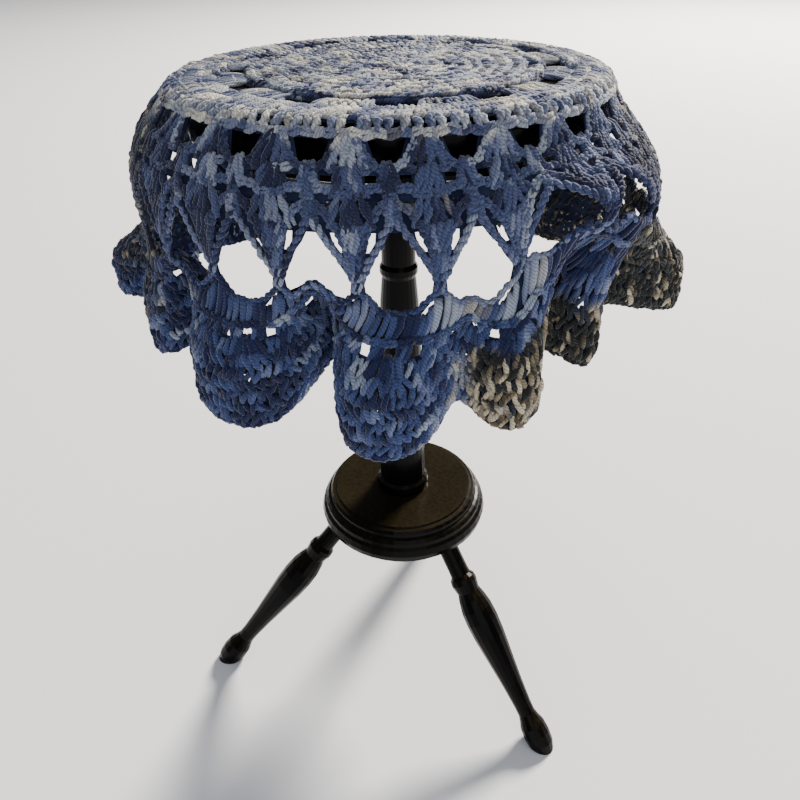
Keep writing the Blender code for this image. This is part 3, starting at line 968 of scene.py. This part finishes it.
class DOILY_OT_band(bpy.types.Operator):
    """The ring of slots with its bridges, the ribbed band outside it and the rim"""

    bl_idname = "doily.band"
    bl_label = "Slots, band and rim"

    def execute(self, context):
        lace = Lace("lace_band", 12)
        width = np.linspace(-0.5, 0.5, 5) * (1 - SLOT_SHARE) * 0.82 * SLOT_PITCH
        middles = SLOT_TURN + SLOT_PITCH * (np.arange(SLOTS)[:, None] + 0.5)
        azimuths = (middles + width).ravel()
        ends = (azimuths, 111.5), (azimuths, 132.5)
        lace.posts(*ends, 12, crossing_pair(1.35), wrap=(0.4, 0.6))
        # The stitches that lean out along both sides of each bridge
        lean = np.array([-1, 1]) * (1 - SLOT_SHARE) * SLOT_PITCH
        for number, (foot, head, out) in enumerate(((0.46, 0.52, 133), (0.49, 0.64, 132))):
            ends = ((middles + lean * foot).ravel(), 111.5), ((middles + lean * head).ravel(), out)
            lace.posts(*ends, 13 + number, crossing_pair(1.2), loose=0.2)

        # The band's two rounds
        count = 150
        pitch = 360 / count
        azimuths = ring_of(count, 0.4)
        look = {"thick": 1.1, "width": 1.4, "lift": -0.6, "slant": 0.9}
        lace.heads(azimuths, 133.5, 1.1 * pitch, 15.5, **look)
        for number, (inner, outer, turn) in enumerate(((133, 145.5, 0.0), (145, 157, 1.1))):
            heads = azimuths + turn + lace.rng.normal(0, 0.12, count) * pitch
            feet = heads + lace.rng.normal(-0.1, 0.16, count) * pitch
            lift = 0.1 + 0.5 * number
            pair = leaf_pair(1.3, 1.7, lift)
            ends = (feet, inner), (heads, outer)
            lace.posts(*ends, 15 + number, pair, thick=1.15, loose=0.4)
            look = {"thick": 1.25, "width": 1.5, "lift": lift + 0.9, "slant": 1.0}
            lace.heads(heads, outer + 0.3, 1.05 * pitch, 15.004 + number, **look)
        lace_object(lace)

        lace = Lace("lace_rim", 13)
        for side in (-0.135, 0.135):
            azimuths = in_bays((-0.667 + side, side, 0.667 + side))
            feet, azimuths = (azimuths + lace.rng.normal(0, 0.5, len(azimuths)) for _ in range(2))
            ends = (feet, 157.5), (azimuths, 169)
            pair = twisted_pair(1.3, 1.2)
            lace.posts(*ends, 17 + side, pair, wrap=(0.3, 0.6), thick=1.3, loose=0.45)
        # The chain along the rim's lower edge
        links = 6
        shares = (np.arange(links) + 0.5) / links * 2 - 1
        azimuths = in_bays(shares)
        outs = np.tile(170.3 - 1.2 * (1 - shares**2), BAYS)
        look = {"thick": 1.35, "width": 1.6, "lift": 1.3, "slant": 0.8}
        lace.heads(azimuths, outs, BAY / links * 1.2, 18, **look)
        lace_object(lace)
        return {"FINISHED"}


def work_row(lace, row, thick, loose, curve=1.0):
    """Works one row of the tables below."""
    number, inner, outer, feet, heads, at_edge, pair, wrap = row
    ends = (in_bays(feet, at_edge), inner), (in_bays(heads, at_edge), outer)
    lace.posts(*ends, number, pair, wrap, thick, curve=curve, loose=loose)


def work_braid(lace, number, out, per_bay, **look):
    """Works the heads of a row."""
    shares = (np.arange(per_bay) + 0.5) / per_bay * 2 - 1
    lace.heads(in_bays(shares), out, BAY / per_bay * 1.12, number, **look)


# Rows of upright stitches: the row's number on the yarn, out at the foot and at the head in mm,
# shares of half a bay at the foot and at the head, whether they are counted from the bay's
# edge, the strands of each stitch, and where it is wrapped
OVER, CROSS, CLOSE = over_pair(1.3), crossing_pair(1.4), crossing_pair(0.9, 0.5, 0.4)
TURNED, LEAF, OPEN = twisted_pair(1.5), leaf_pair(0.5, 2.9), leaf_pair(2.7, 0.7)
SKIRT_ROWS = (
    # The first shells, hung over the rim at the bays' edges
    (20, 168, 190, mirrored((0.045, 0.14)), mirrored((0.14, 0.43)), True, TURNED, (0.5, 0.8)),
    # The second shells, and the forked stitches at the bays' middles
    (21, 188, 206, odd((0.08, 0.16)), odd((0.20, 0.40)), True, TURNED, None),
    (22, 187, 203, (-0.05, 0.05), (-0.22, 0.22), False, OVER, (0.5, 0.8)),
    (23, 193, 207, (-0.04, 0.04), (0.02, -0.02), False, CLOSE, None),
    # The third shells, and the stitches under the forks
    (24, 204, 223, odd((0.08, 0.26)), odd((0.22, 0.55)), True, TURNED, None),
    (25, 208, 222, (-0.06, 0.0, 0.06), (-0.12, 0.0, 0.12), False, OVER, (0.4, 0.7)),
    # The long strands that draw together into the necks
    (26, 221, 238, mirrored((0.08, 0.26)), mirrored((0.06, 0.15)), True, TURNED, None),
    (27, 237, 254, mirrored((0.05, 0.13)), mirrored((0.03, 0.07)), True, CROSS, None),
)


class DOILY_OT_skirt(bpy.types.Operator):
    """The shells, eyelets and crossing cords between the rim and the necks"""

    bl_idname = "doily.skirt"
    bl_label = "Shells and points"

    def execute(self, context):
        lace = Lace("lace_fans", 20)
        rope, plait = rope_pair(), [link(1.45, 0.9)]
        work_row(lace, SKIRT_ROWS[0], thick=1.38, curve=0.75, loose=0.45)
        for row in SKIRT_ROWS[1:4]:
            work_row(lace, row, thick=1.34, loose=0.45)
        # From the rim down each opening's side to its foot, and on along the shells' heads
        stops = ((0.82, 171), (0.60, 180), (0.38, 187.5), (0.04, 190))
        lace.cord(stops, 30, plait, pitch=5.5, thick=1.2)
        stops = ((0.44, 189), (0.72, 191), (1.0, 190))
        lace.cord(stops, 31, plait, pitch=5.8, thick=1.15)
        stops = ((0.13, 200.5), (0.5, 201), (0.8, 205), (1.0, 204.5))
        lace.cord(stops, 32, plait, pitch=5.8, thick=1.35)
        stops = ((-0.16, 205.5), (0, 206.5), (0.16, 205.5))
        lace.cord(stops, 33, plait, pitch=5.5, thick=1.2, mirror=False)
        lace_object(lace)

        lace = Lace("lace_points", 21)
        for row in SKIRT_ROWS[4:]:
            work_row(lace, row, thick=1.32, loose=0.4)
        # The upper cords from the bays' middles to the necks, the shells' heads, and the lower
        # cords that edge the large openings
        stops = ((0.05, 209), (0.25, 211), (0.48, 217), (0.68, 226), (0.84, 238), (0.93, 250))
        lace.cord(stops, 34, plait, pitch=5.4, thick=1.25)
        stops = ((0.58, 222.5), (0.8, 224.5), (1.0, 223))
        lace.cord(stops, 35, plait, pitch=5.6, thick=1.15)
        stops = ((0.02, 218.5), (0.2, 224), (0.4, 232.5), (0.6, 240), (0.78, 248), (0.91, 256))
        lace.cord(stops, 36, rope_pair(1.3), pitch=6.4, thick=1.25)
        # The necks
        for number, side in enumerate((-0.09, 0.0, 0.09), 38):
            stops = ((side, 250), (0.8 * side, 257), (side, 264))
            lace.cord(stops, number, rope, pitch=6.5, thick=1.1, mirror=False, at_edge=True)
        lace_object(lace)
        return {"FINISHED"}


# The chain loops between the necks: shares of half a bay and the distances out in mm
LOOP_SHARES = (0.0, 0.45, 0.80, 1.0)
LOOP_OUTS = (280.0, 278.5, 267.5, 263.5)
# The lower edge of the slit that slants down from each neck to the left
SLIT_SHARES = (0.0, 0.45, 0.62, 0.80, 1.0)
SLIT_OUTS = (280.0, 280.0, 284.0, 278.0, 271.0)


class DOILY_OT_border(bpy.types.Operator):
    """The chain loops between the necks, the ribbed posts over them and the row of holes"""

    bl_idname = "doily.border"
    bl_label = "Loops and posts"

    def execute(self, context):
        lace = Lace("lace_loops", 22)
        shares = np.array(mirrored((0.09, 0.27, 0.45, 0.63, 0.81)) + (0.97,))
        outs = np.where(
            shares < 0,
            np.interp(-shares, LOOP_SHARES, LOOP_OUTS),
            np.interp(shares, SLIT_SHARES, SLIT_OUTS),
        )
        heads = in_bays(0.98 * shares)
        heads = heads + lace.rng.normal(0, 0.12, len(heads))
        ends = (in_bays(shares), np.tile(outs, BAYS)), (heads, 296)
        lace.posts(*ends, 45, hooked_pair(0.5, -2.6), thick=1.42, loose=0.35)
        # The loop itself
        stops = [(at, np.interp(at, LOOP_SHARES, LOOP_OUTS)) for at in np.linspace(0, 1, 7)]
        lace.cord(stops, 46, rope_pair(1.1, 0.0), pitch=6.0, thick=1.15)
        work_braid(lace, 47, 297.5, 11, lift=1.3, width=1.35, thick=1.2, slant=1.1)
        for row in BORDER_ROWS[:2]:
            work_row(lace, row, thick=1.25, loose=0.4)
        lace_object(lace)
        return {"FINISHED"}


def towards_shells(count, shift, foot, head, lean=0.0):
    """Shares of the feet and heads of a row's stitches, drawn towards the middles of its shells.

    The shells stand at the bays' middles and edges. At 0 the stitches all stand there, and at
    1 they are evenly spaced. They lean by a part of the space between them.
    """
    shares = (np.arange(count) + 0.5 + shift) / count * 2 - 1
    shell = np.round(shares)
    heads = shell + head * (shares - shell) + lean * 2 / count
    return tuple(shell + foot * (shares - shell)), tuple(heads)


# The same columns as the skirt's rows
POST_FEET = mirrored((0.17, 0.27, 0.35, 0.70, 0.81, 0.95))
POST_HEADS = mirrored((0.18, 0.27, 0.34, 0.69, 0.81, 0.96))
BORDER_ROWS = (
    # The posts between the holes, and those that close the shells' sides
    (50, 298, 309, POST_FEET, POST_HEADS, False, CROSS, None),
    (58, 309, 322, mirrored((0.44, 0.56)), mirrored((0.42, 0.58)), False, CROSS, None),
    # The shells and, out from them, the leaning stitches of the ruffle
    (51, 307, 321, *towards_shells(12, 0.0, 0.45, 0.80), False, OVER, None),
    (52, 318, 330, *towards_shells(13, 0.5, 0.80, 1.04, 0.3), False, LEAF, None),
    (53, 328, 340, *towards_shells(13, 0.0, 0.95, 1.04, -0.5), False, OPEN, None),
    (54, 338, 350, *towards_shells(13, 0.5, 1.0, 1.0, 0.5), False, LEAF, None),
    (55, 348, 360, *towards_shells(13, 0.0, 1.0, 1.0, -0.5), False, LEAF, None),
    (56, 358, 370, *towards_shells(13, 0.5, 1.0, 1.0, 0.5), False, OPEN, None),
    (57, 368, 380, *towards_shells(13, 0.0, 1.0, 1.0, -0.6), False, LEAF, None),
)


class DOILY_OT_shells(bpy.types.Operator):
    """The shells of the ruffle and its thick edge"""

    bl_idname = "doily.shells"
    bl_label = "Shells and hem"

    def execute(self, context):
        for name, rows in (("lace_shells", BORDER_ROWS[2:6]), ("lace_hem", BORDER_ROWS[6:])):
            lace = Lace(name, rows[0][0])
            for row in rows:
                work_row(lace, row, thick=1.42, loose=0.65)
            if name == "lace_hem":
                work_braid(lace, 59, 380.5, 14, thick=1.3, width=1.4, lift=0.6, slant=0.8)
            lace_object(lace)
        return {"FINISHED"}


# ---------------------------------------------------------------- the dark sheet behind, painted shade


class DOILY_OT_ground(bpy.types.Operator):
    """The thin dark sheet behind the stitches, painted shade in the gaps between them, cut flat
    with its openings and then draped
    """

    bl_idname = "doily.ground"
    bl_label = "Dark sheet of painted shade"

    def execute(self, context):
        flat = bmesh.new()
        cells = 8  # of each bay, each slot and each bridge

        def ring(out, azimuths):
            angles, out = np.radians(azimuths), out * MM
            return [flat.verts.new((out * math.cos(a), out * math.sin(a), 0)) for a in angles]

        def fill(inner, outer, pattern):
            """Faces between two rings, where the pattern isn't open."""
            for i in range(len(inner)):
                if pattern[i % len(pattern)] == ".":
                    after = (i + 1) % len(inner)
                    flat.faces.new((inner[after], inner[i], outer[i], outer[after]))

        slots = []
        for slot in range(SLOTS):
            start, end = (
                SLOT_TURN + SLOT_PITCH * (slot + side * SLOT_SHARE / 2) for side in (-1, 1)
            )
            slots += list(np.linspace(start, end, cells + 1))
            slots += list(np.linspace(end, start + SLOT_PITCH, cells + 1))[1:-1]
        lines = [
            in_bays((-1,) + mirrored(shares)[:3] + (0,) + shares) for _, shares, _ in GROUND_ROWS
        ]
        # The slots' line starts where the bays' lines do
        first = int(np.argmin([abs((line - lines[0][0] + 180) % 360 - 180) for line in slots]))
        slots = slots[first:] + slots[:first]
        opened = "X" * cells + "." * cells
        inner, above = ring(112.5, slots), ring(131.5, slots)
        flat.faces.new(inner)
        fill(inner, above, opened[first % (2 * cells) :] + opened[: first % (2 * cells)])
        pattern = "."
        for (out, _, following), azimuths in zip(GROUND_ROWS, lines):
            below = ring(out, azimuths)
            fill(above, below, pattern)
            above, pattern = below, following
        bmesh.ops.delete(flat, geom=[v for v in flat.verts if not v.link_faces], context="VERTS")
        ruffled = [e for e in flat.edges if min(v.co.length for v in e.verts) > 280 * MM]
        bmesh.ops.subdivide_edges(flat, edges=ruffled, cuts=1, use_grid_fill=True)
        for vert in flat.verts:
            azimuth = math.degrees(math.atan2(vert.co.y, vert.co.x))
            vert.co = DRAPE(azimuth, vert.co.xy.length)
        bmesh.ops.recalc_face_normals(flat, faces=flat.faces)
        mesh = bpy.data.meshes.new("doily_ground")
        flat.to_mesh(mesh)
        flat.free()
        mesh.shade_smooth()
        finish = material_named("painted shade between the stitches", backing_finish)
        made = placed("doily_ground", mesh, finish)
        thick = made.modifiers.new("thickness", "SOLIDIFY")
        thick.thickness, thick.offset = 0.8 * MM, 0
        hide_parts("doily")
        return {"FINISHED"}


class DOILY_OT_stand(bpy.types.Operator):
    """The ebonised finish of the table"""

    bl_idname = "doily.stand"
    bl_label = "Table's wood"

    def execute(self, context):
        finish = wood_finish()
        for name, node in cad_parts.items():
            if name == "doily":
                continue
            node.data.materials.clear()
            node.data.materials.append(finish)
        return {"FINISHED"}


class DOILY_OT_stage(bpy.types.Operator):
    """A pale floor, soft lights and the camera"""

    bl_idname = "doily.stage"
    bl_label = "Stage"

    def execute(self, context):
        studio = context.scene.doily_studio
        flat = bmesh.new()
        bmesh.ops.create_circle(flat, cap_ends=True, segments=96, radius=14)
        mesh = bpy.data.meshes.new("floor")
        flat.to_mesh(mesh)
        flat.free()
        mesh.materials.append(floor_finish())
        floor = bpy.data.objects.new("floor", mesh)
        floor.location.z = -0.5 * MM
        context.scene.collection.objects.link(floor)

        def lamp(name, place, size, power, colour):
            """A round lamp that points at the middle of the object."""
            light = bpy.data.lights.new(name, "AREA")
            light.shape, light.size = "DISK", size
            light.energy, light.color = power, colour
            made = bpy.data.objects.new(name, light)
            made.location = place
            way = Vector((0, 0, 0.5)) - Vector(place)
            made.rotation_euler = way.to_track_quat("-Z", "Y").to_euler()
            context.scene.collection.objects.link(made)

        lamp("warm_key", (4.0, 5.8, 4.9), 2.1, studio.key, (1.0, 0.92, 0.82))
        lamp("cool_fill", (0.5, -2.5, 1.3), 2.2, studio.fill, (0.88, 0.92, 1.0))
        lamp("soft_top", (0.1, -0.3, 2.8), 2.0, studio.top, (1.0, 0.98, 0.95))

        world = bpy.data.worlds.new("studio")
        world.use_nodes = True
        sky = world.node_tree.nodes["Background"]
        sky.inputs["Color"].default_value = (*studio.sky, 1)
        sky.inputs["Strength"].default_value = studio.sky_strength
        context.scene.world = world

        lens = bpy.data.cameras.new("camera")
        lens.sensor_width, lens.lens = CAMERA_SENSOR, CAMERA_LENS
        across, down = ((at - FRAME_WIDTH / 2) / FRAME_WIDTH for at in MIDDLE)
        lens.shift_x, lens.shift_y = -across, down
        camera = bpy.data.objects.new("camera", lens)
        camera.location = (AXIS[0], AXIS[1] - CAMERA_BACK, CAMERA_HEIGHT)
        tilt = Matrix.Rotation(math.pi / 2 - CAMERA_DOWN, 4, "X")
        camera.rotation_euler = (tilt @ Matrix.Rotation(CAMERA_ROLL, 4, "Z")).to_euler()
        context.scene.collection.objects.link(camera)
        context.scene.camera = camera
        return {"FINISHED"}


# ---------------------------------------------------------------- the add-on


def colour_of(name, text, default):
    return bpy.props.FloatVectorProperty(
        name=name, description=text, default=default, subtype="COLOR", size=3, min=0, max=1
    )


def number_of(name, text, default, **limits):
    return bpy.props.FloatProperty(name=name, description=text, default=default, **limits)


def length_of(name, text, default):
    return number_of(name, text, default, unit="LENGTH", min=0.0001, precision=4)


class DoilyYarn(bpy.types.PropertyGroup):
    """The sizes and colours of the yarn"""

    thickness: length_of("Thickness", "Thickness of the yarn as worked", 2.7 * MM)
    patch: length_of("Patch", "Length of yarn over which its shade changes", 0.30)
    ply_turn: length_of("Ply turn", "Length of yarn in which its plies turn once", 7 * MM)
    deep: colour_of("Navy", "Deepest blue of the yarn", (0.014, 0.021, 0.078))
    mid: colour_of("Denim", "Middle blue of the yarn", (0.052, 0.080, 0.215))
    light: colour_of("Grey blue", "Light blue of the yarn", (0.152, 0.190, 0.345))
    pale: colour_of("Pale blue", "Palest blue of the yarn", (0.34, 0.39, 0.49))
    # Cream, mostly on the top, partly painted light
    cream: colour_of("Cream", "Cream of the top, partly painted light", (0.73, 0.71, 0.61))
    # Charcoal is painted shade, tan and wheat are its warm painted highlights
    charcoal: colour_of("Charcoal", "Painted shade of the border", (0.022, 0.024, 0.024))
    tan: colour_of("Tan", "Warm painted highlights of the border", (0.20, 0.155, 0.095))
    wheat: colour_of("Wheat", "Palest painted highlights of the border", (0.60, 0.53, 0.38))


class DoilyStand(bpy.types.PropertyGroup):
    """The finish of the table"""

    black: colour_of("Black", "Ebonised wood", (0.0018, 0.0014, 0.0014))
    brown: colour_of("Brown", "Brown that shows in its grain", (0.016, 0.0125, 0.0055))
    polish: number_of("Polish", "Roughness of the polish", 0.22, min=0, max=1)


class DoilyStudio(bpy.types.PropertyGroup):
    """The floor and the light"""

    floor: colour_of("Floor", "Colour of the floor", (0.82, 0.84, 0.88))
    sky: colour_of("Surroundings", "Colour of the light from all round", (0.93, 0.95, 1.0))
    sky_strength: number_of("Surrounding light", "Strength of the light from all round", 0.34)
    key: number_of("Key", "Power of the warm light", 2270, unit="POWER")
    fill: number_of("Fill", "Power of the cool light", 17, unit="POWER")
    top: number_of("Top", "Power of the light from above", 12, unit="POWER")


OPERATORS = (
    DOILY_OT_ground,
    DOILY_OT_centre,
    DOILY_OT_band,
    DOILY_OT_skirt,
    DOILY_OT_border,
    DOILY_OT_shells,
    DOILY_OT_stand,
    DOILY_OT_stage,
)


class DOILY_PT_panel(bpy.types.Panel):
    """The doily's settings and the steps that make it"""

    bl_idname = "DOILY_PT_panel"
    bl_label = "Lace doily"
    bl_space_type = "VIEW_3D"
    bl_region_type = "UI"
    bl_category = "Doily"

    def draw(self, context):
        scene = context.scene
        for group in (scene.doily_yarn, scene.doily_stand, scene.doily_studio):
            box = self.layout.box()
            for name in type(group).__annotations__:
                box.prop(group, name)
        for operator in OPERATORS:
            self.layout.operator(operator.bl_idname)


CLASSES = (DoilyYarn, DoilyStand, DoilyStudio, *OPERATORS, DOILY_PT_panel)


def register():
    for each in CLASSES:
        bpy.utils.register_class(each)
    bpy.types.Scene.doily_yarn = bpy.props.PointerProperty(type=DoilyYarn)
    bpy.types.Scene.doily_stand = bpy.props.PointerProperty(type=DoilyStand)
    bpy.types.Scene.doily_studio = bpy.props.PointerProperty(type=DoilyStudio)


def unregister():
    del bpy.types.Scene.doily_yarn, bpy.types.Scene.doily_stand, bpy.types.Scene.doily_studio
    for each in reversed(CLASSES):
        bpy.utils.unregister_class(each)


def main():
    register()
    bpy.ops.doily.ground()
    bpy.ops.doily.centre()
    bpy.ops.doily.band()
    bpy.ops.doily.skirt()
    bpy.ops.doily.border()
    bpy.ops.doily.shells()
    bpy.ops.doily.stand()
    bpy.ops.doily.stage()


if __name__ == "__main__":
    main()
